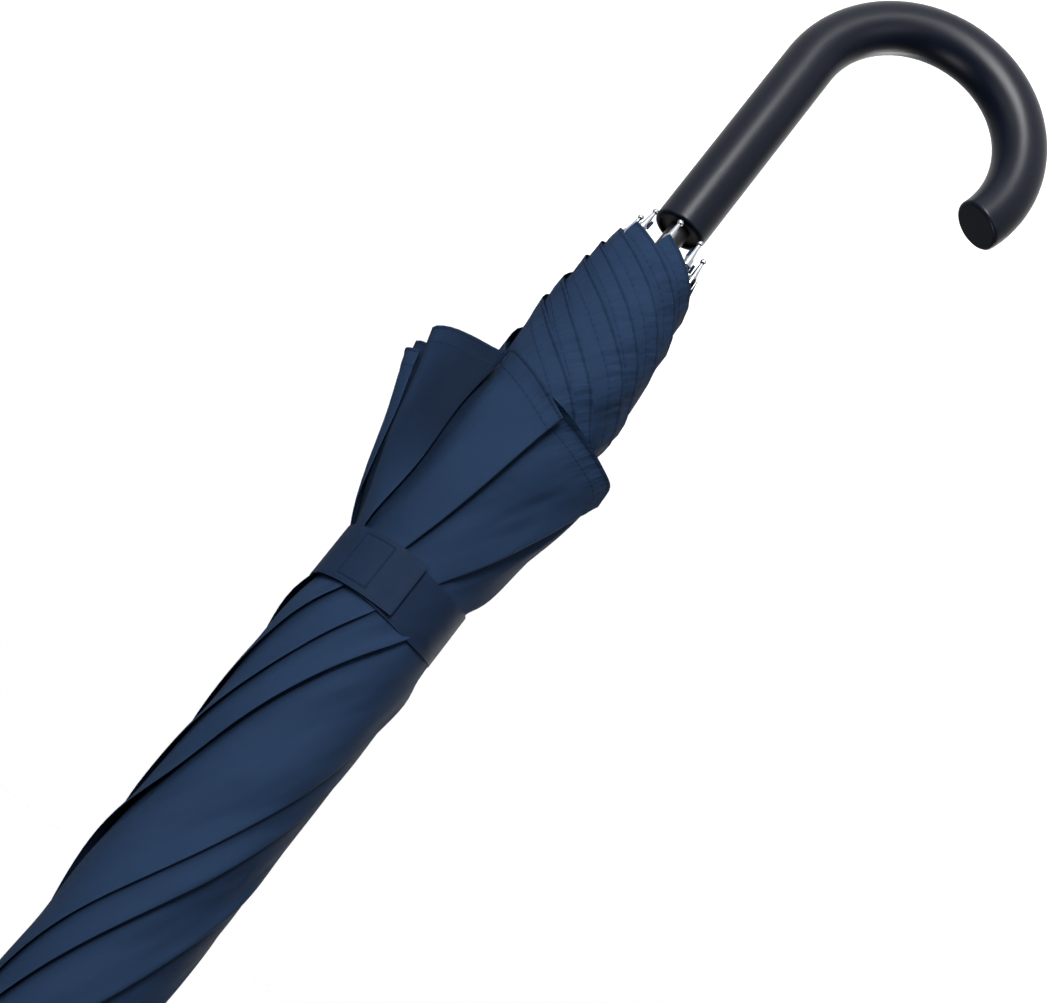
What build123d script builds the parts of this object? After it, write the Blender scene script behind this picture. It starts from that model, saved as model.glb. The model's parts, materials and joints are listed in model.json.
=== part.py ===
from build123d import *
import os
from math import atan2, cos, degrees, radians, sin

# all sizes in millimetres, +Z towards the ferrule, origin on the shaft at the middle of the straight grip

# handle
handle_d = 25.0            # thickness of the round grip
grip_length = 110.0        # straight part of the grip
crook_radius = 54.5        # bend radius of the crook, at the middle of the rod
crook_sweep = 201.0        # degrees of bend
handle_edge_round = 1.6
recess_d = 20.0
recess_depth = 2.6
insert_thickness = 1.2
shaft_in_handle = 58.0

# shaft
shaft_d = 10.0
shaft_wall = 0.7
glue_gap = 0.05            # radial room of every glued or pinned bore
slide_gap = 0.06           # radial room between runner and shaft

# frame
rib_count = 8
rib_drop = 568.0           # from the notch pivots down to the rib tips, folded
rib_d = 3.0
tip_ring_r = 17.0          # circle of the folded rib tips
pivot_ring_r = 8.0         # circle of the notch wire and of the runner wire
rib_bow = 12.0             # how far the middle of a rib stands off its chord
tip_above_handle = 5.0     # the tip balls lie this far above the end of the grip
stretcher_length = 240.0   # pivot to pivot, and also notch pivot to rib joint
joint_offset = 3.4         # rib joint pin stands this far inside the rib
wire_d = 1.2
eye_r = 1.6
tongue_t = 1.6
slot_w = 2.1
eye_hole_d = 1.4
pin_d = 2.0
pin_hole_d = 2.1
clip_half_w = 1.95
clip_half_l = 3.4
bar_w = 2.6
bar_inset = 8.0            # from a pivot to where the full section of a bar starts

# rib tips
ball_d = 2.8
shank_neck_d = 1.5
shank_d = 3.1
shank_l = 9.0
socket_d = 4.1
socket_l = 4.2
tie_d = 1.4
tie_l = 4.0
tie_gap = 0.25

# notch and runner
head_r = 10.2
head_h = 9.0
slot_floor_r = 6.0
wire_room = 0.05
notch_collar_r = 7.6
notch_collar_h = 5.0
notch_pin_d = 1.6
sleeve_r = 9.0
sleeve_l = 34.0
flange_r = 10.4
flange_h = 3.5
keyway_w = 3.4
keyway_r = 7.2
window_l = 9.0
stop_collar_r = 7.0
stop_collar_h = 4.0
stop_collar_gap = 0.6

# press catches in the shaft
catch_reach_r = 6.9
catch_w = 2.4
catch_slot_w = 2.9
catch_slot_half_l = 6.5
catch_h = 8.0
blade_x = 3.1
blade_t = 0.8
blade_up = 5.0
blade_down = 14.0
catch_azimuth = 22.5
hand_catch_below_head = 24.0
top_catch_below_runner = 5.5

# crown and ferrule
rosette_r = 11.0
rosette_t = 1.0
crown_r = 11.5
crown_h = 6.5
ferrule_base_r = 6.6
ferrule_r = 4.5
ferrule_taper = 20.0
ferrule_length = 66.0
shaft_in_ferrule = 12.0
ferrule_cap_h = 5.0
ferrule_cap_spigot_r = 2.5
ferrule_cap_spigot_l = 6.0

# folded cloth, as (distance from the end of the grip, outside radius)
cloth_t = 1.0
cloth_profile = ((19.5, 21.3), (48.0, 26.1), (76.0, 28.4), (110.0, 28.8), (180.0, 28.5),
                 (202.0, 28.4), (225.0, 28.6), (300.0, 29.2), (391.0, 29.0), (470.0, 24.5),
                 (530.0, 18.5), (555.0, 14.5))
flap_rim_at = 112.0
flap_rim_r = 52.0
flap_mid_at = 146.0
flap_mid_r = 36.5
flap_root_at = 193.0
petal_start = 2.5          # degrees past its rib
petal_span = 40.0

# strap
strap_at = 211.0           # middle of the strap, from the end of the grip
strap_w = 25.0
strap_gap = 0.4
strap_t = 1.2
strap_start = 152.0        # degrees, where the band is sewn on
strap_turn = 359.0
tab_start = 75.0
tab_span = 76.0
tab_gap = 0.35
patch_size = 20.0
patch_t = 0.6
patch_gap = 0.3
patch_at = 128.0

# worked out from the sizes above
grip_half = grip_length / 2
handle_r = handle_d / 2
shaft_r = shaft_d / 2
rib_r = rib_d / 2
tip_z = grip_half + tip_above_handle
notch_z = tip_z + rib_drop
rib_step = 360.0 / rib_count
control_r = (pivot_ring_r + tip_ring_r) / 2 + 2 * rib_bow


def cloth_z(distance):
    return grip_half + distance


def rib_at(u):
    """Middle line of a rib: radius and height at the share u of the drop."""
    r = (1 - u) ** 2 * pivot_ring_r + 2 * u * (1 - u) * control_r + u ** 2 * tip_ring_r
    return r, notch_z - rib_drop * u


def rib_control(u0, u1):
    """Control point of the piece of the rib curve between u0 and u1."""
    r = ((1 - u0) * (1 - u1) * pivot_ring_r + (u0 * (1 - u1) + u1 * (1 - u0)) * control_r
         + u0 * u1 * tip_ring_r)
    return r, notch_z - rib_drop * (u0 + u1) / 2


def rib_plane(azimuth):
    """Upright plane through the axis: local x is outwards, local y is up."""
    a = radians(azimuth)
    return Plane(origin=(0, 0, 0), x_dir=(cos(a), sin(a), 0), z_dir=(sin(a), -cos(a), 0))


def rib_azimuth(i):
    return 90.0 + rib_step * i


# the joint of rib and stretcher, stretcher_length from the notch pivot
joint_u = stretcher_length / rib_drop
joint_r = rib_at(joint_u)[0] - joint_offset
joint_lean = atan2(joint_r - pivot_ring_r, stretcher_length)
joint_r = pivot_ring_r + stretcher_length * sin(joint_lean)
joint_z = notch_z - stretcher_length * cos(joint_lean)
runner_z = notch_z - 2 * stretcher_length * cos(joint_lean)

# the rib tips
tip_dir = Vector(tip_ring_r - control_r, -rib_drop / 2).normalized()
rod_end_u = 1 - (shank_l + 0.6) / rib_drop
rod_start_u = bar_inset / rib_drop

os.makedirs("parts", exist_ok=True)

# ---------------------------------------------------------------- handle
with BuildPart() as handle:
    with BuildLine(Plane.XZ):
        Line((0, grip_half), (0, -grip_half))
        CenterArc((crook_radius, -grip_half), crook_radius, 180, crook_sweep)
    with BuildSketch(Plane(origin=(0, 0, grip_half), x_dir=(1, 0, 0), z_dir=(0, 0, -1))):
        Circle(handle_r)
    sweep()
    fillet([f.edges()[0] for f in handle.faces().filter_by(GeomType.PLANE)], handle_edge_round)
    with BuildSketch(Plane.XY.offset(grip_half)):
        Circle(recess_d / 2)
    extrude(amount=-recess_depth, mode=Mode.SUBTRACT)
    with BuildSketch(Plane.XY.offset(grip_half)):
        Circle(shaft_r + glue_gap)
    extrude(amount=-shaft_in_handle, mode=Mode.SUBTRACT)
handle.part.label = "handle"
export_step(handle.part, "parts/handle.step")

with BuildPart() as handle_insert:
    with BuildSketch(Plane.XY.offset(grip_half - recess_depth + glue_gap)):
        Circle(recess_d / 2 - glue_gap)
        Circle(shaft_r + glue_gap, mode=Mode.SUBTRACT)
    extrude(amount=insert_thickness)
handle_insert.part.label = "handle_insert"
export_step(handle_insert.part, "parts/handle_insert.step")

# ---------------------------------------------------------------- shaft
shaft_bottom_z = grip_half - shaft_in_handle + glue_gap
crown_z = notch_z + head_h / 2 + notch_collar_h + rosette_t + 0.6
ferrule_z = crown_z + crown_h + 0.1
shaft_top_z = ferrule_z + shaft_in_ferrule - glue_gap
runner_top_z = notch_z - 2 * stretcher_length * cos(joint_lean + radians(66.0))
runner_foot = head_h / 2 + sleeve_l
hand_catch_z = runner_z - hand_catch_below_head
top_catch_z = runner_top_z - runner_foot - top_catch_below_runner
catch_plane = rib_plane(catch_azimuth)
notch_pin_z = notch_z + head_h / 2 + notch_collar_h / 2

with BuildPart() as shaft:
    with BuildSketch(Plane.XY.offset(shaft_bottom_z)):
        Circle(shaft_r)
        Circle(shaft_r - shaft_wall, mode=Mode.SUBTRACT)
    extrude(amount=shaft_top_z - shaft_bottom_z)
    for z in (hand_catch_z, top_catch_z):
        with BuildSketch(catch_plane):
            with Locations((shaft_r - shaft_wall, z)):
                Rectangle(2 * shaft_wall + 2, 2 * catch_slot_half_l)
        extrude(amount=catch_slot_w / 2, both=True, mode=Mode.SUBTRACT)
    with BuildSketch(Plane.XZ):
        with Locations((0, notch_pin_z)):
            Circle(notch_pin_d / 2 + 0.02)
    extrude(amount=shaft_d, both=True, mode=Mode.SUBTRACT)
shaft.part.label = "shaft"
export_step(shaft.part, "parts/shaft.step")

for name, z in (("hand_spring", hand_catch_z), ("top_spring", top_catch_z)):
    with BuildPart() as spring:
        with BuildSketch(catch_plane):
            with BuildLine():
                Polyline((blade_x, z - blade_down), (blade_x + blade_t, z - blade_down),
                         (blade_x + blade_t, z + blade_up - catch_h - 1.0),
                         (catch_reach_r, z + blade_up - 4.0), (catch_reach_r, z + blade_up - 1.0),
                         (blade_x + blade_t, z + blade_up - 1.0), (blade_x + blade_t, z + blade_up),
                         (blade_x, z + blade_up), close=True)
            make_face()
        extrude(amount=catch_w / 2, both=True)
    spring.part.label = name
    export_step(spring.part, f"parts/{name}.step")

# ---------------------------------------------------------------- notch and runner
wire_cut_r = wire_d / 2 + wire_room

with BuildPart() as notch:
    with BuildSketch(Plane.XY.offset(notch_z - head_h / 2)):
        Circle(head_r)
    extrude(amount=head_h)
    with BuildSketch(Plane.XY.offset(notch_z + head_h / 2)):
        Circle(notch_collar_r)
    extrude(amount=notch_collar_h)
    with BuildSketch(Plane.XY.offset(notch_z - head_h / 2)):
        Circle(shaft_r + glue_gap)
    extrude(amount=head_h + notch_collar_h, mode=Mode.SUBTRACT)
    with BuildSketch(Plane.XY.offset(notch_z - head_h / 2)):
        with PolarLocations(slot_floor_r + head_r / 2, rib_count, start_angle=rib_azimuth(0)):
            Rectangle(head_r, slot_w)
    extrude(amount=head_h, mode=Mode.SUBTRACT)
    with BuildSketch(Plane.XZ):
        with Locations((pivot_ring_r, notch_z)):
            Circle(wire_cut_r)
    revolve(axis=Axis.Z, mode=Mode.SUBTRACT)
    with BuildSketch(Plane.XZ):
        with Locations((0, notch_pin_z)):
            Circle(notch_pin_d / 2 + 0.02)
    extrude(amount=head_r, both=True, mode=Mode.SUBTRACT)
notch.part.label = "notch"
export_step(notch.part, "parts/notch.step")

with BuildPart() as notch_pin:
    with BuildSketch(Plane.XZ):
        with Locations((0, notch_pin_z)):
            Circle(notch_pin_d / 2)
    extrude(amount=notch_collar_r, both=True)
notch_pin.part.label = "notch_pin"
export_step(notch_pin.part, "parts/notch_pin.step")

with BuildPart() as runner:
    with BuildSketch(Plane.XY.offset(runner_z - head_h / 2)):
        Circle(head_r)
    extrude(amount=head_h)
    with BuildSketch(Plane.XY.offset(runner_z - head_h / 2)):
        Circle(sleeve_r)
    extrude(amount=-sleeve_l)
    with BuildSketch(Plane.XY.offset(runner_z - runner_foot)):
        Circle(flange_r)
    extrude(amount=flange_h)
    with BuildSketch(Plane.XY.offset(runner_z - runner_foot)):
        Circle(shaft_r + slide_gap)
    extrude(amount=head_h + sleeve_l, mode=Mode.SUBTRACT)
    with BuildSketch(Plane.XY.offset(runner_z - head_h / 2)):
        with PolarLocations(slot_floor_r + head_r / 2, rib_count, start_angle=rib_azimuth(0)):
            Rectangle(head_r, slot_w)
    extrude(amount=head_h, mode=Mode.SUBTRACT)
    with BuildSketch(Plane.XZ):
        with Locations((pivot_ring_r, runner_z)):
            Circle(wire_cut_r)
    revolve(axis=Axis.Z, mode=Mode.SUBTRACT)
    with BuildSketch(catch_plane):
        with Locations((keyway_r / 2, runner_z + head_h / 2 - (head_h + sleeve_l) / 2)):
            Rectangle(keyway_r, head_h + sleeve_l)
    extrude(amount=keyway_w / 2, both=True, mode=Mode.SUBTRACT)
    with BuildSketch(catch_plane):
        with Locations((sleeve_r, hand_catch_z)):
            Rectangle(2 * (sleeve_r - keyway_r) + 1, window_l)
    extrude(amount=keyway_w / 2, both=True, mode=Mode.SUBTRACT)
runner.part.label = "runner"
export_step(runner.part, "parts/runner.step")

for name, z in (("notch_wire", notch_z), ("runner_wire", runner_z)):
    with BuildPart() as wire:
        with BuildSketch(Plane.XZ):
            with Locations((pivot_ring_r, z)):
                Circle(wire_d / 2)
        revolve(axis=Axis.Z)
    wire.part.label = name
    export_step(wire.part, f"parts/{name}.step")

with BuildPart() as stop_collar:
    with BuildSketch(Plane.XY.offset(runner_z - runner_foot - stop_collar_gap)):
        Circle(stop_collar_r)
        Circle(shaft_r + glue_gap, mode=Mode.SUBTRACT)
    extrude(amount=-stop_collar_h)
stop_collar.part.label = "stop_collar"
export_step(stop_collar.part, "parts/stop_collar.step")

# ---------------------------------------------------------------- ribs, tips and stretchers
rod_start = rib_at(rod_start_u)
rod_end = rib_at(rod_end_u)
rod_control = rib_control(rod_start_u, rod_end_u)
rod_in = (rod_control[0] - rod_start[0], rod_control[1] - rod_start[1])
joint_rod_r = rib_at(joint_u)[0]

for i in range(rib_count):
    plane = rib_plane(rib_azimuth(i))
    start_plane = Plane(origin=plane.from_local_coords((rod_start[0], rod_start[1], 0)),
                        x_dir=plane.z_dir,
                        z_dir=plane.x_dir * rod_in[0] + plane.y_dir * rod_in[1])
    with BuildPart() as rib:
        # clip with two ears for the stretcher
        with BuildSketch(plane):
            with BuildLine():
                Polyline((joint_rod_r + clip_half_w, joint_z - clip_half_l),
                         (joint_rod_r + clip_half_w, joint_z + clip_half_l),
                         (joint_rod_r - rib_r, joint_z + clip_half_l),
                         (joint_r - eye_r, joint_z + eye_r), (joint_r - eye_r, joint_z - eye_r),
                         (joint_rod_r - rib_r, joint_z - clip_half_l), close=True)
            make_face()
        extrude(amount=clip_half_w, both=True)
        with BuildSketch(plane):
            with Locations((joint_r - clip_half_l / 2, joint_z)):
                Rectangle(clip_half_l + 2 * eye_r, 4 * clip_half_l)
        extrude(amount=slot_w / 2, both=True, mode=Mode.SUBTRACT)
        with BuildSketch(plane):
            with Locations((joint_r, joint_z)):
                Circle(pin_d / 2)
        extrude(amount=clip_half_w, both=True)
        # the rod
        with BuildLine(plane):
            Bezier(rod_start, rod_control, rod_end)
        with BuildSketch(start_plane):
            Circle(rib_r)
        sweep()
        # flattened eye on the notch wire
        with BuildSketch(plane):
            with BuildLine():
                Polyline((pivot_ring_r - eye_r, notch_z), (pivot_ring_r + eye_r, notch_z),
                         (rod_start[0] + rib_r, rod_start[1] - 2.0),
                         (rod_start[0] - rib_r, rod_start[1] - 2.0), close=True)
            make_face()
            with Locations((pivot_ring_r, notch_z)):
                Circle(eye_r)
        extrude(amount=tongue_t / 2, both=True)
        with BuildSketch(plane):
            with Locations((pivot_ring_r, notch_z)):
                Circle(eye_hole_d / 2)
        extrude(amount=tongue_t, both=True, mode=Mode.SUBTRACT)
    rib.part.label = f"rib_{i + 1}"
    export_step(rib.part, f"parts/rib_{i + 1}.step")

    tip_origin = plane.from_local_coords((tip_ring_r, tip_z, 0))
    tip_up = (plane.x_dir * tip_dir.X + plane.y_dir * tip_dir.Y) * -1
    tip_plane = Plane(origin=tip_origin, x_dir=plane.z_dir, z_dir=plane.z_dir.cross(tip_up))
    tip_axis = Axis(tip_origin, tip_up)
    side = 1 if tip_plane.y_dir.dot(tip_up) > 0 else -1
    with BuildPart() as rib_tip:
        with BuildSketch(tip_plane):
            with BuildLine():
                Polyline((0, 0), (shank_neck_d / 2, side * ball_d / 4),
                         (shank_d / 2, side * shank_l), (socket_d / 2, side * (shank_l + 0.3)),
                         (socket_d / 2, side * (shank_l + socket_l)), (0, side * (shank_l + socket_l)),
                         close=True)
            make_face()
        revolve(axis=tip_axis)
        with Locations(tip_origin):
            Sphere(ball_d / 2)
        with BuildSketch(Plane(origin=tip_origin + tip_up * (shank_l + 0.3), z_dir=tip_up)):
            Circle(rib_r + glue_gap)
        extrude(amount=socket_l, mode=Mode.SUBTRACT)
    rib_tip.part.label = f"rib_tip_{i + 1}"
    export_step(rib_tip.part, f"parts/rib_tip_{i + 1}.step")

    # the corner of the gore before this rib, sewn on inside its tip
    tie_origin = (tip_origin + tip_up * (shank_l - tie_l - 0.8)
                  - plane.x_dir * (shank_d / 2 + tie_d / 2 + tie_gap))
    with BuildPart() as hem_tie:
        with BuildSketch(Plane(origin=tie_origin, z_dir=tip_up)):
            Circle(tie_d / 2)
        extrude(amount=tie_l)
    tie_name = f"hem_tie_{(i - 1) % rib_count + 1}"
    hem_tie.part.label = tie_name
    export_step(hem_tie.part, f"parts/{tie_name}.step")

    bar = Vector(joint_r - pivot_ring_r, joint_z - runner_z).normalized()
    across = Vector(-bar.Y, bar.X)
    ends = [Vector(pivot_ring_r, runner_z), Vector(joint_r, joint_z)]
    near = [ends[0] + bar * (bar_inset - 3.0), ends[1] - bar * (bar_inset - 3.0)]
    full = [ends[0] + bar * bar_inset, ends[1] - bar * bar_inset]
    with BuildPart() as stretcher:
        with BuildSketch(plane):
            with BuildLine():
                Polyline(*[(p.X, p.Y) for p in (
                    full[0] + across * (bar_w / 2), full[1] + across * (bar_w / 2),
                    full[1] - across * (bar_w / 2), full[0] - across * (bar_w / 2))], close=True)
            make_face()
        extrude(amount=bar_w / 2, both=True)
        with BuildSketch(plane):
            with BuildLine():
                Polyline(*[(p.X, p.Y) for p in (
                    ends[0] + across * (bar_w / 2), ends[1] + across * (bar_w / 2),
                    ends[1] - across * (bar_w / 2), ends[0] - across * (bar_w / 2))], close=True)
            make_face()
            with Locations((ends[0].X, ends[0].Y), (ends[1].X, ends[1].Y)):
                Circle(eye_r)
        extrude(amount=tongue_t / 2, both=True)
        with BuildSketch(plane):
            with Locations((ends[0].X, ends[0].Y)):
                Circle(eye_hole_d / 2)
            with Locations((ends[1].X, ends[1].Y)):
                Circle(pin_hole_d / 2)
        extrude(amount=tongue_t, both=True, mode=Mode.SUBTRACT)
    stretcher.part.label = f"stretcher_{i + 1}"
    export_step(stretcher.part, f"parts/stretcher_{i + 1}.step")

# ---------------------------------------------------------------- folded cloth
outer = [(r, cloth_z(d)) for d, r in cloth_profile]
inner = [(r - cloth_t, cloth_z(d)) for d, r in cloth_profile]
flap_root_r = 28.45
flap = [(flap_root_r - cloth_t / 2, cloth_z(flap_root_at + 6.0)), (flap_mid_r, cloth_z(flap_mid_at)),
        (flap_rim_r, cloth_z(flap_rim_at)), (flap_rim_r - cloth_t, cloth_z(flap_rim_at - 0.5)),
        (flap_mid_r - 1.1 * cloth_t, cloth_z(flap_mid_at - 1.0)),
        (flap_root_r - cloth_t / 2, cloth_z(flap_root_at - 6.0))]

for i in range(rib_count):
    plane = rib_plane(rib_azimuth(i) + petal_start)
    with BuildPart() as petal:
        with BuildSketch(plane):
            with BuildLine():
                Spline(*outer)
                Line(outer[-1], inner[-1])
                Spline(*inner[::-1])
                Line(inner[0], outer[0])
            make_face()
        revolve(axis=Axis.Z, revolution_arc=petal_span)
        with BuildSketch(plane):
            with BuildLine():
                Spline(*flap[:3])
                Line(flap[2], flap[3])
                Spline(*flap[3:])
                Line(flap[5], flap[0])
            make_face()
        revolve(axis=Axis.Z, revolution_arc=petal_span)
    petal.part.label = f"canopy_gore_{i + 1}"
    export_step(petal.part, f"parts/canopy_gore_{i + 1}.step")

# ---------------------------------------------------------------- crown and ferrule
with BuildPart() as rosette:
    with BuildSketch(Plane.XY.offset(notch_z + head_h / 2 + notch_collar_h + 0.3)):
        Circle(rosette_r)
        Circle(shaft_r + glue_gap, mode=Mode.SUBTRACT)
    extrude(amount=rosette_t)
rosette.part.label = "rosette"
export_step(rosette.part, "parts/rosette.step")

with BuildPart() as crown_cap:
    with BuildSketch(Plane.XZ):
        with BuildLine():
            Polyline((shaft_r + glue_gap, crown_z + crown_h), (shaft_r + glue_gap, crown_z),
                     (crown_r, crown_z), (crown_r, crown_z + 1.2))
            Spline((crown_r, crown_z + 1.2), (crown_r * 0.88, crown_z + crown_h * 0.62),
                   (shaft_r + 1.9, crown_z + crown_h))
            Line((shaft_r + 1.9, crown_z + crown_h), (shaft_r + glue_gap, crown_z + crown_h))
        make_face()
    revolve(axis=Axis.Z)
crown_cap.part.label = "crown_cap"
export_step(crown_cap.part, "parts/crown_cap.step")

ferrule_end_z = ferrule_z + ferrule_length
with BuildPart() as ferrule:
    with BuildSketch(Plane.XZ):
        with BuildLine():
            Polyline((0, ferrule_z), (ferrule_base_r, ferrule_z),
                     (ferrule_base_r, ferrule_z + 3.0), (ferrule_r, ferrule_z + ferrule_taper),
                     (ferrule_r, ferrule_end_z), (0, ferrule_end_z), close=True)
        make_face()
    revolve(axis=Axis.Z)
    with BuildSketch(Plane.XY.offset(ferrule_z)):
        Circle(shaft_r + glue_gap)
    extrude(amount=shaft_in_ferrule, mode=Mode.SUBTRACT)
    with BuildSketch(Plane.XY.offset(ferrule_end_z)):
        Circle(ferrule_cap_spigot_r + glue_gap)
    extrude(amount=-ferrule_cap_spigot_l - glue_gap, mode=Mode.SUBTRACT)
ferrule.part.label = "ferrule"
export_step(ferrule.part, "parts/ferrule.step")

with BuildPart() as ferrule_cap:
    with BuildSketch(Plane.XZ):
        with BuildLine():
            Polyline((0, ferrule_end_z - ferrule_cap_spigot_l), (ferrule_cap_spigot_r, ferrule_end_z - ferrule_cap_spigot_l),
                     (ferrule_cap_spigot_r, ferrule_end_z + glue_gap), (ferrule_r, ferrule_end_z + glue_gap),
                     (ferrule_r, ferrule_end_z + ferrule_cap_h * 0.5),
                     (ferrule_r * 0.72, ferrule_end_z + ferrule_cap_h * 0.9),
                     (ferrule_r * 0.35, ferrule_end_z + ferrule_cap_h), (0, ferrule_end_z + ferrule_cap_h),
                     close=True)
        make_face()
    revolve(axis=Axis.Z)
ferrule_cap.part.label = "ferrule_cap"
export_step(ferrule_cap.part, "parts/ferrule_cap.step")

# ---------------------------------------------------------------- strap
strap_in_r = 28.5 + strap_gap
strap_low_z = cloth_z(strap_at - strap_w / 2)

with BuildPart() as strap_band:
    with BuildSketch(rib_plane(strap_start)):
        with Locations((strap_in_r + strap_t / 2, strap_low_z + strap_w / 2)):
            Rectangle(strap_t, strap_w)
    revolve(axis=Axis.Z, revolution_arc=strap_turn)
strap_band.part.label = "strap_band"
export_step(strap_band.part, "parts/strap_band.step")

tab_in_r = strap_in_r + strap_t + tab_gap
with BuildPart() as strap_tab:
    with BuildSketch(rib_plane(tab_start)):
        with Locations((tab_in_r + strap_t / 2, strap_low_z + strap_w / 2)):
            Rectangle(strap_t, strap_w)
    revolve(axis=Axis.Z, revolution_arc=tab_span)
strap_tab.part.label = "strap_tab"
export_step(strap_tab.part, "parts/strap_tab.step")

patch_in_r = tab_in_r + strap_t + patch_gap
patch_arc = degrees(patch_size / patch_in_r)
with BuildPart() as strap_patch:
    with BuildSketch(rib_plane(patch_at - patch_arc / 2)):
        with Locations((patch_in_r + patch_t / 2, strap_low_z + strap_w / 2)):
            Rectangle(patch_t, patch_size)
    revolve(axis=Axis.Z, revolution_arc=patch_arc)
strap_patch.part.label = "strap_patch"
export_step(strap_patch.part, "parts/strap_patch.step")
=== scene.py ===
import json
import math
import bpy
import numpy as np
from mathutils import Matrix, Vector


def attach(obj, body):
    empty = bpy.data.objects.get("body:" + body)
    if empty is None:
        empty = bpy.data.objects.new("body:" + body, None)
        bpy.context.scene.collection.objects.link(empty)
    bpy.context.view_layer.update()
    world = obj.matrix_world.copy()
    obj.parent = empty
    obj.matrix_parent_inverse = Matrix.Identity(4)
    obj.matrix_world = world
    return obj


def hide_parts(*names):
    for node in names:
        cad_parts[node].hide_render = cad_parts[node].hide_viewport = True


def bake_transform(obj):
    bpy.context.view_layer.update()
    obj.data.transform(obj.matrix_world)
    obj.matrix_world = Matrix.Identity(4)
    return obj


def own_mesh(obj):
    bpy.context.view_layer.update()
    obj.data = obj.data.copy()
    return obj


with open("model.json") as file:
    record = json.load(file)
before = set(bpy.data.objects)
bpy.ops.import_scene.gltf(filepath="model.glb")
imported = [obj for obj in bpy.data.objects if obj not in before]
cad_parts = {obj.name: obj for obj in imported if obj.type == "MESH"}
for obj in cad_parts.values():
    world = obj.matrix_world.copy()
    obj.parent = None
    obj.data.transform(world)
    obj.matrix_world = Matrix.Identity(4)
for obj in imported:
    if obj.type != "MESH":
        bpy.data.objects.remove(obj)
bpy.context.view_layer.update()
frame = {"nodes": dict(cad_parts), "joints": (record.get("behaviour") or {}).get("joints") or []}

nodes = frame["nodes"]
print("frame loaded:", len(nodes), "parts")


camera = {"place": (0.06619, 0.68974, 0.42662), "turn": (-67.386, 35.422, 9.674), "lens": 60.0}
studio = {
    "floorDrop": 0.6, "floorTone": 0.9,
    "sky": 0.12, "whiteUpTo": 0.12, "darkFrom": 0.55,      # the white horizon keeps the background plain
    "overhead": 2.75, "overheadSoftness": 25.0,
    "streakTurn": 7.0, "streakAway": 1.25,      # the long light that draws the highlight along the grip
}

cameraData = bpy.data.cameras.new("camera")
cameraData.lens = camera["lens"]
cameraData.sensor_width = 36.0
cameraObject = bpy.data.objects.new("camera", cameraData)
cameraObject.location = camera["place"]
cameraObject.rotation_euler = [math.radians(a) for a in camera["turn"]]
bpy.context.scene.collection.objects.link(cameraObject)
bpy.context.scene.camera = cameraObject

scene = bpy.context.scene
scene.view_settings.view_transform = "Standard"
world = bpy.data.worlds.new("studio")
scene.world = world
world.use_nodes = True
backdrop = world.node_tree.nodes["Background"]
skyPlace = world.node_tree.nodes.new("ShaderNodeTexCoord")
skySplit = world.node_tree.nodes.new("ShaderNodeSeparateXYZ")
skyRamp = world.node_tree.nodes.new("ShaderNodeValToRGB")
world.node_tree.links.new(skyPlace.outputs["Generated"], skySplit.inputs[0])
world.node_tree.links.new(skySplit.outputs["Z"], skyRamp.inputs["Fac"])
world.node_tree.links.new(skyRamp.outputs["Color"], backdrop.inputs["Color"])
skyRamp.color_ramp.elements[0].position = studio["whiteUpTo"]
skyRamp.color_ramp.elements[0].color = (1, 1, 1, 1)
skyRamp.color_ramp.elements[1].position = studio["darkFrom"]
skyRamp.color_ramp.elements[1].color = (studio["sky"],) * 3 + (1,)
backdrop.inputs["Strength"].default_value = 1.0


def softLight(name, place, target, size, power):
    data = bpy.data.lights.new(name, "AREA")
    data.shape = "RECTANGLE"
    data.size, data.size_y = size
    data.energy = power
    light = bpy.data.objects.new(name, data)
    light.location = place
    light.rotation_euler = (Vector(target) - Vector(place)).to_track_quat("-Z", "Y").to_euler()
    scene.collection.objects.link(light)
    return light


aimAt = Vector((0.0, 0.0, 0.17))
lookDirections = cameraObject.rotation_euler.to_matrix().transposed()
lookRight, lookUp, lookBack = (Vector(direction) for direction in lookDirections)


def fromCamera(right, up, near):
    # a place beside the object, along the camera's own directions
    return aimAt + lookRight * right + lookUp * up + lookBack * near


softLight("keyLight", fromCamera(-0.7, 0.65, 0.85), fromCamera(0, 0.05, 0), (0.5, 1.2), 8.0)
softLight("fillLight", fromCamera(0.9, -0.1, 0.9), fromCamera(0, 0, 0), (0.6, 0.6), 6.5)
sideBack = (lookBack - Vector((0, 0, lookBack.z))).normalized()
sideLeft = Vector((0, 0, 1)).cross(sideBack)
if sideLeft.dot(lookRight) > 0:
    sideLeft.negate()
streakAt = math.radians(2 * studio["streakTurn"])
turned = sideBack * math.cos(streakAt) + sideLeft * math.sin(streakAt)
mirrored = turned * math.hypot(lookBack.x, lookBack.y) - Vector((0, 0, lookBack.z))
softLight("gripLight", mirrored * studio["streakAway"], (0, 0, 0), (0.36, 1.0), 112.0)
softLight("rearLight", (1.0, -1.5, 0.05), (0, 0, 0.3), (0.8, 0.8), 26.0)
sunData = bpy.data.lights.new("overhead", "SUN")
sunData.energy = studio["overhead"]
sunData.angle = math.radians(studio["overheadSoftness"])
scene.collection.objects.link(bpy.data.objects.new("overhead", sunData))

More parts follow.
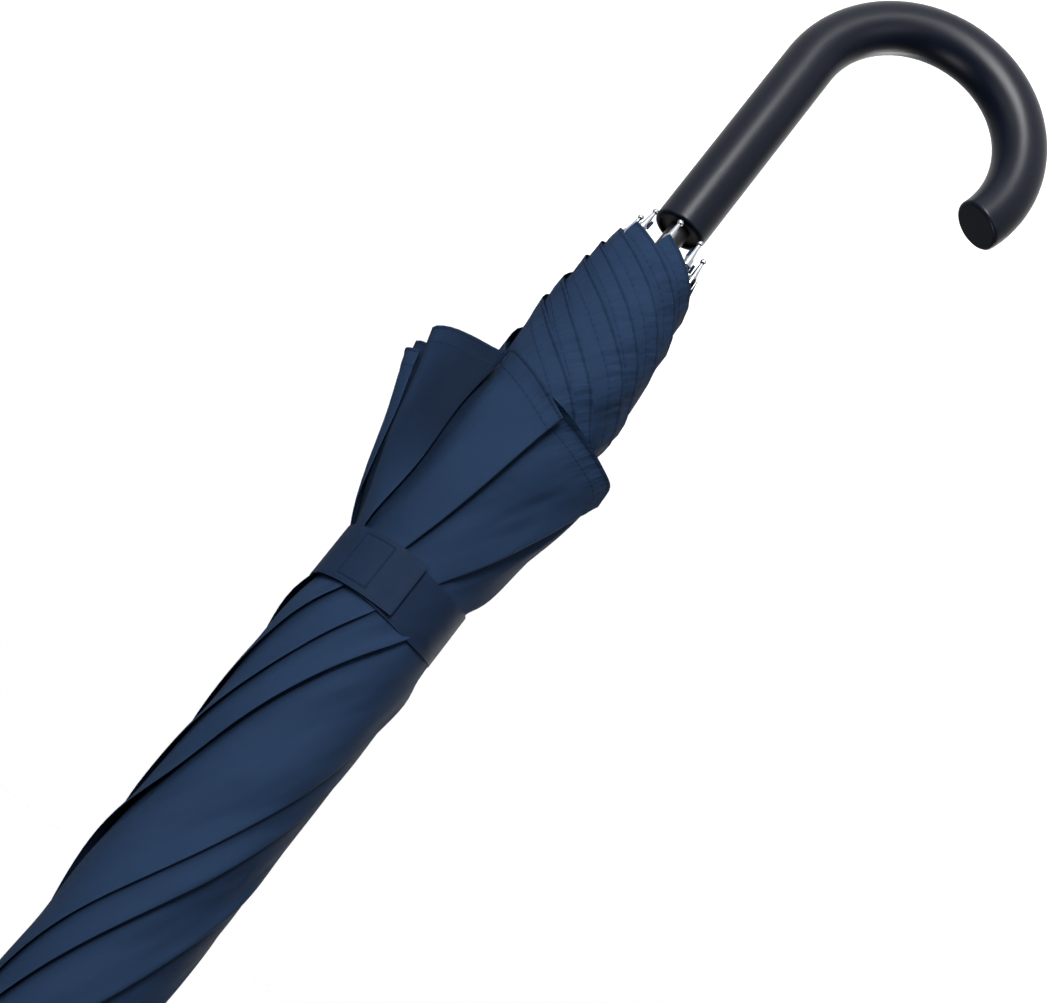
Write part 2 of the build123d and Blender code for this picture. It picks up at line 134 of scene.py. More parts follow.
floorMesh = bpy.data.meshes.new("floor")
floorMesh.from_pydata([(-60, -60, 0), (60, -60, 0), (60, 60, 0), (-60, 60, 0)], [], [(0, 1, 2, 3)])
floorObject = bpy.data.objects.new("floor", floorMesh)
floorObject.location.z = -studio["floorDrop"]
scene.collection.objects.link(floorObject)
floorMaterial = bpy.data.materials.new("paleFloor")
floorMaterial.use_nodes = True
floorShader = floorMaterial.node_tree.nodes["Principled BSDF"]
floorShader.inputs["Base Color"].default_value = (studio["floorTone"],) * 3 + (1,)
floorShader.inputs["Roughness"].default_value = 0.9
floorShader.inputs["Specular IOR Level"].default_value = 0.0
floorMesh.materials.append(floorMaterial)
print("camera and light ready")


def newMaterial(name):
    material = bpy.data.materials.new(name)
    material.use_nodes = True
    return material, material.node_tree, material.node_tree.nodes["Principled BSDF"]


def feed(tree, node, inputs):
    # an input takes a value, or a link where another node's output is given
    for key, value in inputs.items():
        if isinstance(value, bpy.types.NodeSocket):
            tree.links.new(value, node.inputs[key])
        else:
            node.inputs[key].default_value = value


def addNode(tree, kind, inputs=None, **settings):
    node = tree.nodes.new(kind)
    for key, value in settings.items():
        setattr(node, key, value)
    feed(tree, node, inputs or {})
    return node


def calculate(tree, operation, *values):
    return addNode(tree, "ShaderNodeMath", dict(enumerate(values)), operation=operation).outputs[0]


def groupSocket(group, name, direction, kind, value=None):
    socket = group.interface.new_socket(name=name, in_out=direction, socket_type=kind)
    if value is not None:
        socket.default_value = value
    return socket


def grainGroup():
    # fine speckle and slow unevenness for moulded, drawn and painted parts
    group = bpy.data.node_groups.new("fineGrain", "ShaderNodeTree")
    groupSocket(group, "Color", "INPUT", "NodeSocketColor", (0.5, 0.5, 0.5, 1))
    groupSocket(group, "Roughness", "INPUT", "NodeSocketFloat", 0.5)
    groupSocket(group, "Grain Size", "INPUT", "NodeSocketFloat", 3000.0)
    groupSocket(group, "Spread", "INPUT", "NodeSocketFloat", 0.08)
    groupSocket(group, "Color", "OUTPUT", "NodeSocketColor")
    groupSocket(group, "Roughness", "OUTPUT", "NodeSocketFloat")
    groupSocket(group, "Height", "OUTPUT", "NodeSocketFloat")
    given = addNode(group, "NodeGroupInput").outputs
    place = addNode(group, "ShaderNodeTexCoord").outputs["Object"]
    grain = addNode(group, "ShaderNodeTexNoise", {"Vector": place, "Scale": given["Grain Size"], "Detail": 3.0})
    slow = addNode(group, "ShaderNodeTexNoise", {"Vector": place, "Scale": 28.0, "Detail": 4.0})
    centred = calculate(group, "SUBTRACT", slow.outputs["Fac"], 0.5)
    uneven = calculate(group, "MULTIPLY", centred, given["Spread"])
    tint = addNode(group, "ShaderNodeHueSaturation",
                   {"Value": calculate(group, "MULTIPLY_ADD", uneven, 2.0, 1.0), "Color": given["Color"]})
    addNode(group, "NodeGroupOutput", {"Color": tint.outputs["Color"], "Height": grain.outputs["Fac"],
                                       "Roughness": calculate(group, "ADD", given["Roughness"], uneven)})
    return group


def weaveGroup():
    # two crossing thread directions, on a UV map that is in metres
    group = bpy.data.node_groups.new("plainWeave", "ShaderNodeTree")
    groupSocket(group, "Threads", "INPUT", "NodeSocketFloat", 2600.0)
    groupSocket(group, "Weave", "OUTPUT", "NodeSocketFloat")
    groupSocket(group, "Streak", "OUTPUT", "NodeSocketFloat")
    threads = addNode(group, "NodeGroupInput").outputs["Threads"]
    uv = addNode(group, "ShaderNodeUVMap", uv_map="cloth").outputs["UV"]
    split = addNode(group, "ShaderNodeSeparateXYZ", {0: uv})
    waves = []
    for axis in ("X", "Y"):
        count = calculate(group, "MULTIPLY", split.outputs[axis], threads)
        waves.append(calculate(group, "SINE", calculate(group, "MULTIPLY", count, 2 * math.pi)))
    stretch = addNode(group, "ShaderNodeMapping", {"Vector": uv, "Scale": (900.0, 60.0, 1.0)})
    streak = addNode(group, "ShaderNodeTexNoise", {"Vector": stretch.outputs[0], "Scale": 1.0, "Detail": 3.0})
    woven = calculate(group, "MULTIPLY", *waves)
    addNode(group, "NodeGroupOutput", {"Weave": woven, "Streak": streak.outputs["Fac"]})
    return group


fineGrain = grainGroup()
plainWeave = weaveGroup()


def solidFinish(name, look):
    # one plain finish with grain
    material, tree, shader = newMaterial(name)
    grain = addNode(tree, "ShaderNodeGroup", node_tree=fineGrain)
    feed(tree, grain, {"Color": (*look["color"], 1), "Roughness": look["roughness"],
                       "Grain Size": look.get("grainSize", 3000.0), "Spread": look.get("spread", 0.08)})
    bump = addNode(tree, "ShaderNodeBump", {"Strength": look.get("bump", 0.1), "Distance": 0.0002,
                                            "Height": grain.outputs["Height"]})
    feed(tree, shader, {"Base Color": grain.outputs["Color"], "Roughness": grain.outputs["Roughness"],
                        "Metallic": look.get("metallic", 0.0), "Coat Weight": look.get("coat", 0.0),
                        "Specular IOR Level": look.get("specular", 0.5), "Normal": bump.outputs["Normal"]})
    return material


finishes = {
    "softBlack": {"color": (0.0006, 0.0012, 0.0030), "roughness": 0.36, "specular": 0.068, "grainSize": 2500.0,
                  "bump": 0.12, "spread": 0.05},
    "mouldedBlack": {"color": (0.012, 0.012, 0.013), "roughness": 0.35, "coat": 0.1},
    "darkRecess": {"color": (0.006, 0.006, 0.006), "roughness": 0.6},
    "paintedSteel": {"color": (0.02, 0.02, 0.022), "roughness": 0.3, "metallic": 0.2, "coat": 0.3},
    "shaftBlack": {"color": (0.004, 0.004, 0.0045), "roughness": 0.4, "specular": 0.12},
    "glassFibre": {"color": (0.022, 0.022, 0.024), "roughness": 0.38, "grainSize": 1200.0},
    "brightWire": {"color": (0.6, 0.6, 0.6), "roughness": 0.25, "metallic": 1.0},
    "springSteel": {"color": (0.5, 0.5, 0.52), "roughness": 0.3, "metallic": 1.0},
    "chrome": {"color": (0.2, 0.21, 0.225), "roughness": 0.17, "metallic": 1.0, "bump": 0.03, "spread": 0.04},
}
materials = {name: solidFinish(name, look) for name, look in finishes.items()}


def hemThreads(tree, look, split, seam):
    # an edge line and a row of stitches, at their distances from the hem
    along = calculate(tree, "MULTIPLY", split.outputs["X"], 2 * math.pi / look["stitch"])
    gap = calculate(tree, "MULTIPLY_ADD", calculate(tree, "SINE", along), 0.35, 0.65)
    for place, reach, dashed in look["hemLines"]:
        away = calculate(tree, "ABSOLUTE", calculate(tree, "SUBTRACT", split.outputs["Y"], place))
        strength = 0.6 if dashed else 0.75
        line = addNode(tree, "ShaderNodeMapRange", {"Value": away, "From Min": reach * 0.5, "From Max": reach,
                                                    "To Min": strength, "To Max": 0.0}).outputs["Result"]
        if dashed:
            line = calculate(tree, "MULTIPLY", line, gap)
        seam = calculate(tree, "MAXIMUM", seam, line)
    return seam


def hemPucker(tree, uv, split, under):
    # small creases where the hem is sewn, fading out over the next centimetre
    drawn = addNode(tree, "ShaderNodeMapping", {"Vector": uv, "Scale": (260.0, 50.0, 1.0)})
    pull = addNode(tree, "ShaderNodeTexNoise", {"Vector": drawn.outputs[0], "Scale": 1.0, "Detail": 2.0})
    near = addNode(tree, "ShaderNodeMapRange", {"Value": split.outputs["Y"], "From Min": 0.004, "From Max": 0.016,
                                                "To Min": 1.0, "To Max": 0.0})
    height = calculate(tree, "MULTIPLY", pull.outputs["Fac"], near.outputs["Result"])
    pucker = addNode(tree, "ShaderNodeBump", {"Strength": 1.0, "Distance": 0.0012,
                                              "Height": height, "Normal": under})
    return pucker.outputs["Normal"]


def clothFinish(name, look):
    # woven cloth: threads, hem lines and wrinkles follow its UV map, painted shade and seams its own attributes
    material, tree, shader = newMaterial(name)
    weave = addNode(tree, "ShaderNodeGroup", node_tree=plainWeave)
    weave.inputs["Threads"].default_value = look["threads"]
    # painted shade: this attribute darkens the cloth towards a painted shade colour under folds and in crevices
    paintedShade = addNode(tree, "ShaderNodeAttribute", attribute_name="paintedShade").outputs["Fac"]
    seam = addNode(tree, "ShaderNodeAttribute", attribute_name="seam").outputs["Fac"]
    uv = addNode(tree, "ShaderNodeUVMap", uv_map="cloth").outputs["UV"]
    split = addNode(tree, "ShaderNodeSeparateXYZ", {0: uv})
    base = addNode(tree, "ShaderNodeMix", data_type="RGBA")
    feed(tree, base, {"A": (*look["color"], 1), "B": (*look["streakColor"], 1),
                      "Factor": weave.outputs["Streak"]})
    dark = addNode(tree, "ShaderNodeMix", data_type="RGBA")
    feed(tree, dark, {"A": base.outputs["Result"], "B": (*look["paintedShadeColor"], 1), "Factor": paintedShade})
    if look["hemLines"]:
        seam = hemThreads(tree, look, split, seam)
    sewn = addNode(tree, "ShaderNodeMix", data_type="RGBA")
    feed(tree, sewn, {"A": dark.outputs["Result"], "B": (*look["seamColor"], 1), "Factor": seam})
    rough = calculate(tree, "MULTIPLY_ADD", weave.outputs["Streak"], 0.12, look["roughness"] - 0.06)

    drawn = addNode(tree, "ShaderNodeMapping", {"Vector": uv, "Scale": look["wrinkles"]})
    wavy = addNode(tree, "ShaderNodeTexNoise", {"Vector": drawn.outputs[0], "Scale": 1.0, "Detail": 2.0})
    soft = addNode(tree, "ShaderNodeBump", {"Strength": 1.0, "Distance": look["wrinkleDepth"],
                                            "Height": wavy.outputs["Fac"]})
    shape = soft.outputs["Normal"]
    if look["hemLines"]:
        shape = hemPucker(tree, uv, split, shape)
    thread = addNode(tree, "ShaderNodeBump", {"Strength": look["bump"], "Distance": 0.0001,
                                              "Height": weave.outputs["Weave"], "Normal": shape})
    groove = addNode(tree, "ShaderNodeBump", {"Strength": 0.7, "Distance": 0.0004, "Height": seam,
                                              "Normal": thread.outputs["Normal"]}, invert=True)
    feed(tree, shader, {"Base Color": sewn.outputs["Result"], "Roughness": rough,
                        "Specular IOR Level": look["specular"], "Normal": groove.outputs["Normal"]})
    return material


# hemLines: distance from the hem, half width, whether it is a row of stitches
cloths = {
    # the third colour of each cloth is painted shade, mixed in by the cloth's painted shade attribute
    "navyCloth": {"color": (0.0031, 0.0070, 0.0162), "streakColor": (0.0039, 0.0088, 0.0199),
                  "paintedShadeColor": (0.0008, 0.002, 0.005), "seamColor": (0.0018, 0.0045, 0.011),
                  "roughness": 0.8, "specular": 0.02, "threads": 2200.0, "bump": 0.25,
                  "wrinkles": (34.0, 13.0, 1.0), "wrinkleDepth": 0.007,
                  "hemLines": ((0.0009, 0.0006, False), (0.0072, 0.00055, True)), "stitch": 0.0026},
    "strapCloth": {"color": (0.0018, 0.0042, 0.0102), "streakColor": (0.0023, 0.0054, 0.0127),
                   "paintedShadeColor": (0.0008, 0.002, 0.005), "seamColor": (0.0014, 0.0036, 0.0088),
                   "roughness": 0.65, "specular": 0.02, "threads": 1900.0, "bump": 0.3,
                   "wrinkles": (60.0, 40.0, 1.0), "wrinkleDepth": 0.0015, "hemLines": (), "stitch": 0.0026},
}
materials.update({name: clothFinish(name, look) for name, look in cloths.items()})

nodeFinish = {
    "shaft": "shaftBlack", "stop_collar": "mouldedBlack", "handle": "softBlack", "handle_insert": "darkRecess",
    "notch": "mouldedBlack", "notch_wire": "brightWire", "notch_pin": "brightWire", "rosette": "navyCloth",
    "crown_cap": "mouldedBlack", "ferrule": "softBlack", "ferrule_cap": "chrome",
    "runner": "mouldedBlack", "runner_wire": "brightWire",
    "hand_spring": "springSteel", "top_spring": "springSteel",
    "strap_band": "strapCloth", "strap_tab": "strapCloth", "strap_patch": "strapCloth",
}
for k in range(1, 9):
    nodeFinish.update({f"rib_{k}": "glassFibre", f"rib_tip_{k}": "chrome", f"stretcher_{k}": "paintedSteel",
                       f"canopy_gore_{k}": "navyCloth", f"hem_tie_{k}": "navyCloth"})
for name, finish in nodeFinish.items():
    mesh = nodes[name].data
    mesh.materials.clear()
    mesh.materials.append(materials[finish])
print("finishes ready:", len(materials))


strap = {"middle": 211.0, "width": 25.0, "radius": 30.0}      # mm, from the end of the grip

# the roll's sizes are in mm, and its levels run from the end of the grip towards the ferrule
gripEnd = 55.0
roll = {
    # level, radius
    "radius": ((10, 17.0), (14, 19.0), (18, 20.3), (22, 21.6), (31, 23.8), (41, 25.4), (50, 26.6), (60, 28.2),
               (70, 28.9), (80, 29.6), (90, 30.2), (105, 30.2), (130, 29.8), (160, 29.3), (189, 29.0),
               (200, 28.6), (211, 28.4), (222, 28.7), (233, 30.5), (258, 29.8), (290, 29.9), (320, 28.9),
               (345, 30.0), (375, 29.9), (391, 29.6), (415, 28.8), (470, 25.2), (530, 18.6), (560, 14.6),
               (575, 12.2), (583, 10.8)),
    # level, sideways bend of the roll
    "lean": ((10, 0.0), (30, 0.4), (60, 1.5), (90, 1.9), (118, 0.6), (200, -1.2), (232, -1.5), (300, -1.6),
             (391, -3.0), (480, -1.0), (580, 0.0)),
    "top": 582.5, "topWidth": 11.0,
    "halfWidth": 0.352,      # of a folded gore, per mm from its top
    "hemEnd": 13.5, "hemWidth": 212.0, "hemLift": 0.6, "hemThick": 0.3, "hemFold": 7.6,
    "pitch": 0.075, "pitchTo": 36.0, "deepPitch": 0.028,      # how fast a turn sinks under the next
    "layerGap": 0.28, "foldLift": 0.9,
    "flareFrom": 199.0, "flareLength": 82.0, "strapReach": 22.0,
    "wind": 0.93,      # degrees that a fold winds round, per mm
    "unevenness": 1.3,
    "ribClearance": 0.5,
    "columns": 46, "rows": 110,      # of points over half a leaf
    "foldedAt": 598.5, "foldedShare": 0.004,      # height that the leaves flatten to, and what is left of them
}
# each leaf of the roll: the azimuth of its fold at the hem, above the strap and below it, the level of its
# hem's corner, how much of the hem is tilted, how far the loose part reaches, the hem's rise over the tilted
# part, how far the fold dips, how wide the painted shadow of the next fold is, how much painted shade the leaf
# has beside its own fold, and how much its corner is rounded
leafValues = ("foldAtHem", "foldAboveStrap", "foldBelowStrap", "corner", "tilted", "loose",
              "hemRise", "foldDip", "shadow", "shade", "rounding")
leaves = [dict(zip(leafValues, row)) for row in (
    (72.0, 97.0, 121.0, 121.0, 40.0, 42.0, -14.0, 0.0, 5.0, 0.0, 0.0),
    (4.0, 56.0, 88.0, 121.0, 60.0, 64.0, -3.5, 0.0, 2.0, 0.0, 8.0),
    (-40.0, 10.0, 55.0, 121.0, 20.0, 22.0, 2.0, 0.0, 1.6, 0.0, 0.0),
    (-80.0, -60.0, -25.0, 119.0, 34.0, 40.0, 2.0, 0.0, 1.6, 0.0, 0.0),
    (-112.0, -88.0, -49.0, 115.0, 22.0, 30.0, 2.0, 0.0, 1.6, 0.0, 0.0),
    (-152.0, -130.0, -95.0, 118.0, 30.0, 37.0, 2.0, 0.0, 1.6, 0.0, 0.0),
    (-190.0, -175.0, -140.0, 120.0, 34.0, 40.0, 2.0, 0.0, 1.6, 0.0, 0.0),
    (-233.0, -220.0, -195.0, 106.0, 38.0, 44.0, 9.0, 0.5, 4.0, 0.8, 0.0),
)]

# the open canopy, in mm and degrees
joints = {joint["name"]: joint for joint in frame["joints"]}
ribHinge, edgeHinge = joints["rib_1_hinge"], joints["gore_1_spread"]
spread = {
    "openAngle": ribHinge["range_deg"][1],
    "pivotRadius": 1000 * ribHinge["pos_m"][1], "pivotHeight": 1000 * ribHinge["pos_m"][2],
    "turnAngle": edgeHinge["range_deg"][1], "farAxis": edgeHinge["axis"],      # of the gore's far edge
    "bow": 36.5, "tipRadius": 17.0, "drop": 568.0, "clipAt": 0.4225,      # the rib at rest, and its clip
    "above": 2.1, "startAt": 0.017, "hemAt": 0.9785, "hemCurve": 0.062, "sag": 7.0,
    "lane": 6.0,      # width of the fold that holds a gore at rest
    "gore": 410.0, "length": 535.0, "thick": 0.35, "columns": 26, "rows": 64,
}

# azimuth, radius of the flared hems
rimRadius = (
    (-174, 61.0), (-164, 56.0), (-152, 50.0), (-128, 43.0), (-112, 48.0), (-92, 42.0), (-74, 49.0),
    (-50, 42.0), (-32, 44.0), (-12, 43.5), (0, 45.5), (10, 46.0), (20, 45.5), (30, 44.5), (50, 44.5),
    (82, 46.5), (104, 46.5), (117, 43.5), (124, 39.0), (129, 37.5), (135, 40.5), (142, 46.5), (151, 54.0),
    (162, 57.5), (169, 53.0), (178, 60.5),
)


def curve(table, at):
    # a smooth curve through a table of points
    xs = np.array([p[0] for p in table], float)
    ys = np.array([p[1] for p in table], float)
    slope = np.gradient(ys, xs)
    at = np.clip(np.asarray(at, float), xs[0], xs[-1])
    k = np.clip(np.searchsorted(xs, at) - 1, 0, len(xs) - 2)
    h = xs[k + 1] - xs[k]
    t = (at - xs[k]) / h
    return ((2 * t**3 - 3 * t**2 + 1) * ys[k] + (t**3 - 2 * t**2 + t) * h * slope[k]
            + (3 * t**2 - 2 * t**3) * ys[k + 1] + (t**3 - t**2) * h * slope[k + 1])


def ease(t):
    t = np.clip(t, 0, 1)
    return t * t * (3 - 2 * t)


def rim(azimuth):
    # the table goes once round, so its ends are joined
    turned = (np.asarray(azimuth, float) + 180.0) % 360.0 - 180.0
    (firstAt, first), (lastAt, last) = rimRadius[0], rimRadius[-1]
    return curve(((lastAt - 360, last),) + rimRadius + ((firstAt + 360, first),), turned)


def foldAzimuth(leaf, at):
    # the folds wind steadily below the strap and faster towards the top
    hem, above, below = leaf["foldAtHem"], leaf["foldAboveStrap"], leaf["foldBelowStrap"]
    far = below + roll["wind"] * (415 - 228)
    return curve(((40, hem - 0.24 * 78), (118, hem), (198, above), (228, below),
                  (320, below + roll["wind"] * 92), (415, far), (500, far + 68), (577, far + 119)), at)


def hemAt(leaf, x):
    # the hem is straight and tilted at first, then runs in to the rib's tip
    flat, rise = leaf["loose"] + 14.0, leaf["hemRise"]
    share = np.clip((x - flat) / (roll["hemWidth"] - flat), 0, 1)
    fall = 0.62 * share ** 1.2 + 0.38 * np.sin(share * math.pi / 2) ** 1.3
    rounded = leaf["rounding"] * np.exp(-(x / 5.0) ** 2)
    outside = leaf["corner"] + rounded + rise * np.clip(x / leaf["tilted"], 0, 1)
    return outside - (leaf["corner"] + rise - roll["hemEnd"]) * fall


def hemStart(leaf, at):
    # how much of the cloth next to the fold is missing at a level nearer the grip than the corner
    x = np.linspace(leaf["loose"] if leaf["hemRise"] >= 0 else 0, roll["hemWidth"], 400)
    return np.interp(-at, -hemAt(leaf, x), x, left=0.0) * ease((leaf["corner"] - at) / 4)


def unevenness(azimuth, at):
    a = np.radians(azimuth)
    helix = np.radians(roll["wind"] * at)
    waves = (0.45 * np.sin(3 * (a - helix) + 0.021 * at) + 0.35 * np.sin(5 * (a - helix) - 0.045 * at + 1.3)
             + 0.25 * np.sin(2 * a + 0.06 * at + 0.7) + 0.18 * np.sin(7 * (a - helix) + 0.09 * at + 2.1))
    return roll["unevenness"] * waves


def ribRadius(u):
    # of a folded rib's centre line, from 0 at its pivot to 1 at its tip
    return (1 - u) ** 2 * spread["pivotRadius"] + 2 * u * (1 - u) * spread["bow"] + u * u * spread["tipRadius"]


def clearOfRibs(radius, azimuth, at, x):
    # the layers that show lie outside the folded ribs
    u = np.clip((spread["pivotHeight"] - gripEnd - at) / spread["drop"], 0, 1)
    keep = ribRadius(u) + spread["above"] + roll["ribClearance"] + 1.2 * (1 - np.clip(x / 60, 0, 1))
    lean = curve(roll["lean"], at)
    a = np.radians(azimuth)
    least = -lean * np.cos(a) + np.sqrt(np.maximum(keep**2 - (lean * np.sin(a)) ** 2, 0))
    short = least - radius
    pushed = radius + 0.5 * (short + np.sqrt(short**2 + 0.6))
    return radius + (pushed - radius) * (1 - ease((x - 50) / 20)) * ease((at - 20) / 30)


def leafShape(leaf):
    # the leaf's points as distance from the fold, level, azimuth and radius
    top, columns, rows = roll["top"], roll["columns"], roll["rows"]
    share = (np.arange(columns + 1) / columns) ** 1.45      # closer together near the fold
    levels = (np.arange(rows + 1) / rows) ** 1.25      # and near the hem
    x = np.zeros((rows + 1, columns + 1))
    at = np.zeros_like(x)
    for c, s in enumerate(share):
        start = 60.0
        for _ in range(30):     # closes in on the column's own hem point
            width = roll["halfWidth"] * (top - start) + roll["topWidth"]
            start = 0.5 * start + 0.5 * float(hemAt(leaf, s * width))
        at[:, c] = start + (top - start) * levels
        x[:, c] = s * (roll["halfWidth"] * (top - at[:, c]) + roll["topWidth"])
    tight = curve(roll["radius"], at)
    missing = hemStart(leaf, at)
    azimuth = np.zeros_like(x)
    radius = np.zeros_like(x)
    azimuth[:, 0] = foldAzimuth(leaf, at[:, 0])
    flared = np.clip((roll["flareFrom"] - at) / roll["flareLength"], 0, 1.12) ** 0.88
    loose = 1 - ease(1 - np.abs(at - strap["middle"]) / roll["strapReach"])      # flat under the strap
    for c in range(columns + 1):
        if c:
            # angles add up along each level, so the cloth keeps its width
            step = x[:, c] - x[:, c - 1]
            fold = foldAzimuth(leaf, at[:, c]) - foldAzimuth(leaf, at[:, c - 1])
            azimuth[:, c] = azimuth[:, c - 1] + fold + np.degrees(step / np.maximum(radius[:, c - 1], 8))
        past = np.maximum(x[:, c] - missing[:, c], 0)
        deep = np.maximum(past - roll["pitchTo"], 0)
        sink = roll["pitch"] * np.minimum(past, roll["pitchTo"]) + roll["deepPitch"] * deep
        own = 1 - ease((x[:, c] - leaf["loose"]) / 13.0)
        flare = (rim(azimuth[:, c]) - tight[:, c]) * flared[:, c] * own
        flare = flare - leaf["foldDip"] * np.exp(-(x[:, c] / 9.0) ** 2) * ease((185 - at[:, c]) / 50)
        lift = roll["foldLift"] * np.exp(-(x[:, c] / 4.5) ** 2) * loose[:, c]
        lift = lift * np.where(at[:, c] > 100, 1, 0.3)
        hem = roll["hemLift"] * np.exp(-np.maximum(at[:, c] - at[0, c], 0) / 3.5)
        bumps = unevenness(azimuth[:, c], at[:, c]) * (0.35 + 0.65 * loose[:, c]) * ease((at[:, c] - 10) / 60)
        lying = tight[:, c] - sink + flare + lift + hem + bumps
        radius[:, c] = clearOfRibs(lying, azimuth[:, c], at[:, c], x[:, c])
    return x, at, azimuth, radius


def gridFaces(rows, columns):
    # the quads of a grid, counted along its rows
    r, c = np.meshgrid(np.arange(rows - 1), np.arange(columns - 1), indexing="ij")
    a = (r * columns + c).ravel()
    return np.stack([a, a + 1, a + columns + 1, a + columns], 1)


def clothPiece(name, points, faces, uv, paintedShade, seam, finish):
    # points and uv are in metres, and the painted shade and seam go from 0 to 1 at each point
    mesh = bpy.data.meshes.new(name)
    mesh.from_pydata(points, [], faces)
    loops = np.zeros(len(mesh.loops), np.int32)
    mesh.loops.foreach_get("vertex_index", loops)
    mesh.uv_layers.new(name="cloth").data.foreach_set("uv", uv[loops].ravel())
    for label, values in (("paintedShade", paintedShade), ("seam", seam)):
        layer = mesh.attributes.new(label, "FLOAT", "POINT")
        layer.data.foreach_set("value", np.clip(values, 0, 1).ravel().astype(np.float32))
    mesh.materials.append(materials[finish])
    mesh.polygons.foreach_set("use_smooth", np.ones(len(mesh.polygons), bool))
    piece = bpy.data.objects.new(name, mesh)
    scene.collection.objects.link(piece)
    return piece


def bothSides(outer, inner):
    # one row of values that goes over the outer half of a leaf, round its fold and over the inner half
    return np.concatenate([outer[:, ::-1], inner[:, 1:]], 1)


def leafPaintedShade(index, leaf, x, at, azimuth, radius):
    # painted shade: darker where the next fold lies on this leaf and, where the leaf is given it, beside its own
    # fold
    nextFold = foldAzimuth(leaves[(index - 1) % 8], at) + (0 if index else 360.0)
    away = np.radians(azimuth - nextFold) * radius
    paintedShade = np.where(away < 0, np.exp(np.minimum(away, 0) / leaf["shadow"]), np.exp(-np.maximum(away, 0) / 5))
    paintedShade = paintedShade * 0.85 * ease((at - 100) / 12)
    # painted shade beside the leaf's own fold, where its surface turns away from the light
    if leaf["shade"]:
        paintedShade = np.maximum(paintedShade, leaf["shade"] * (1 - ease((x - 10) / 16)) * ease((190 - at) / 50))
    return np.clip(paintedShade, 0, 0.95)


def buildLeaf(index, leaf):
    x, at, azimuth, radius = leafShape(leaf)
    lean = curve(roll["lean"], at)
    gap = roll["layerGap"] * np.sqrt(np.clip(x / 1.6, 0, 1))
    hemDepth = at - at[0:1, :]
    band = roll["hemThick"] * (1 - ease((hemDepth - roll["hemFold"]) / 0.9))
    halves = []
    for side in (1, -1):
        r = radius + side * gap + side * band
        a = np.radians(azimuth)
        halves.append(np.stack([lean + r * np.cos(a), r * np.sin(a), gripEnd + at], -1) / 1000)
    grid = bothSides(*halves)
    paintedShade = leafPaintedShade(index, leaf, x, at, azimuth, radius)
    uv = np.stack([bothSides(x, -x).ravel(), bothSides(hemDepth, hemDepth).ravel()], 1) / 1000
    points, faces = grid.reshape(-1, 3).tolist(), gridFaces(*grid.shape[:2]).tolist()
    # the inner layers are painted half way to the painted shade colour all over
    shades = bothSides(paintedShade, np.full_like(paintedShade, 0.5))
    piece = clothPiece(f"rolledLeaf{index + 1}", points, faces, uv, shades, np.zeros(grid.shape[:2]), "navyCloth")
    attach(piece, "frame")
    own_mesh(piece)
    return piece


rolledLeaves = [buildLeaf(index, leaf) for index, leaf in enumerate(leaves)]
for k, piece in enumerate(rolledLeaves):
    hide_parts(f"canopy_gore_{k + 1}")
print("rolled cloth ready")


# the spread cloth is inside the roll at rest; its rest shape is found from the open gore stretched over the ribs
def turning(point, axis, degrees):
    there, back = Matrix.Translation(Vector(point)), Matrix.Translation(-Vector(point))
    return there @ Matrix.Rotation(math.radians(degrees), 4, Vector(axis).normalized()) @ back


def ribRest(azimuth, u, above):
    # centre line of a folded rib, moved outwards by above
    a = math.radians(azimuth)
    r = ribRadius(u)
    slope = 2 * (1 - u) * (spread["bow"] - spread["pivotRadius"]) + 2 * u * (spread["tipRadius"] - spread["bow"])
    size = math.hypot(slope, spread["drop"])
    r += above * spread["drop"] / size
    z = spread["pivotHeight"] - spread["drop"] * u + above * slope / size
    return Vector((r * math.cos(a), r * math.sin(a), z))


def opening(azimuth, degrees):
    a = math.radians(azimuth)
    pivot = (spread["pivotRadius"] * math.cos(a), spread["pivotRadius"] * math.sin(a), spread["pivotHeight"])
    return turning(pivot, (math.sin(a), -math.cos(a), 0), degrees)


def applyTo(matrix, points):
    m = np.array(matrix)
    return points @ m[:3, :3].T + m[:3, 3]


def openTarget():
    # one open gore between the ribs at azimuth 0 and 45 degrees, in mm
    rows, columns = spread["rows"], spread["columns"]
    openA, openB = opening(0.0, spread["openAngle"]), opening(45.0, spread["openAngle"])
    grid = np.zeros((rows + 1, columns + 1, 3))
    for c in range(columns + 1):
        v = c / columns
        arch = 4 * v * (1 - v)
        last = spread["hemAt"] * (1 - spread["hemCurve"] * arch)
        for r in range(rows + 1):
            u = spread["startAt"] + (last - spread["startAt"]) * (r / rows) ** 0.9
            near = np.clip((spread["hemAt"] - u) / 0.03, 0, 1)
            overClip = 1.3 * math.exp(-((u - spread["clipAt"]) / 0.022) ** 2)
            above = spread["above"] - 1.5 * (1 - near * near * (3 - 2 * near)) + overClip
            a = np.array(openA @ ribRest(0.0, u, above))
            b = np.array(openB @ ribRest(45.0, u, above))
            middle = (a + b) / 2
            down = np.array([-0.34 * middle[0], -0.34 * middle[1], -abs(middle[0]) * 0.8])
            down /= np.linalg.norm(down)
            hang = arch ** 0.8 * math.sin(math.pi * np.clip(u / last, 0, 1)) ** 0.9
            grid[r, c] = a * (1 - v) + b * v + down * spread["sag"] * hang
    return grid.reshape(-1, 3)


def halved(tooFar, count):
    # for each point, the share from 0 to 1 at which tooFar becomes true
    low, high = np.zeros(count), np.ones(count)
    for _ in range(44):
        middle = (low + high) / 2
        over = tooFar(middle)
        low, high = np.where(over, low, middle), np.where(over, middle, high)
    return (low + high) / 2


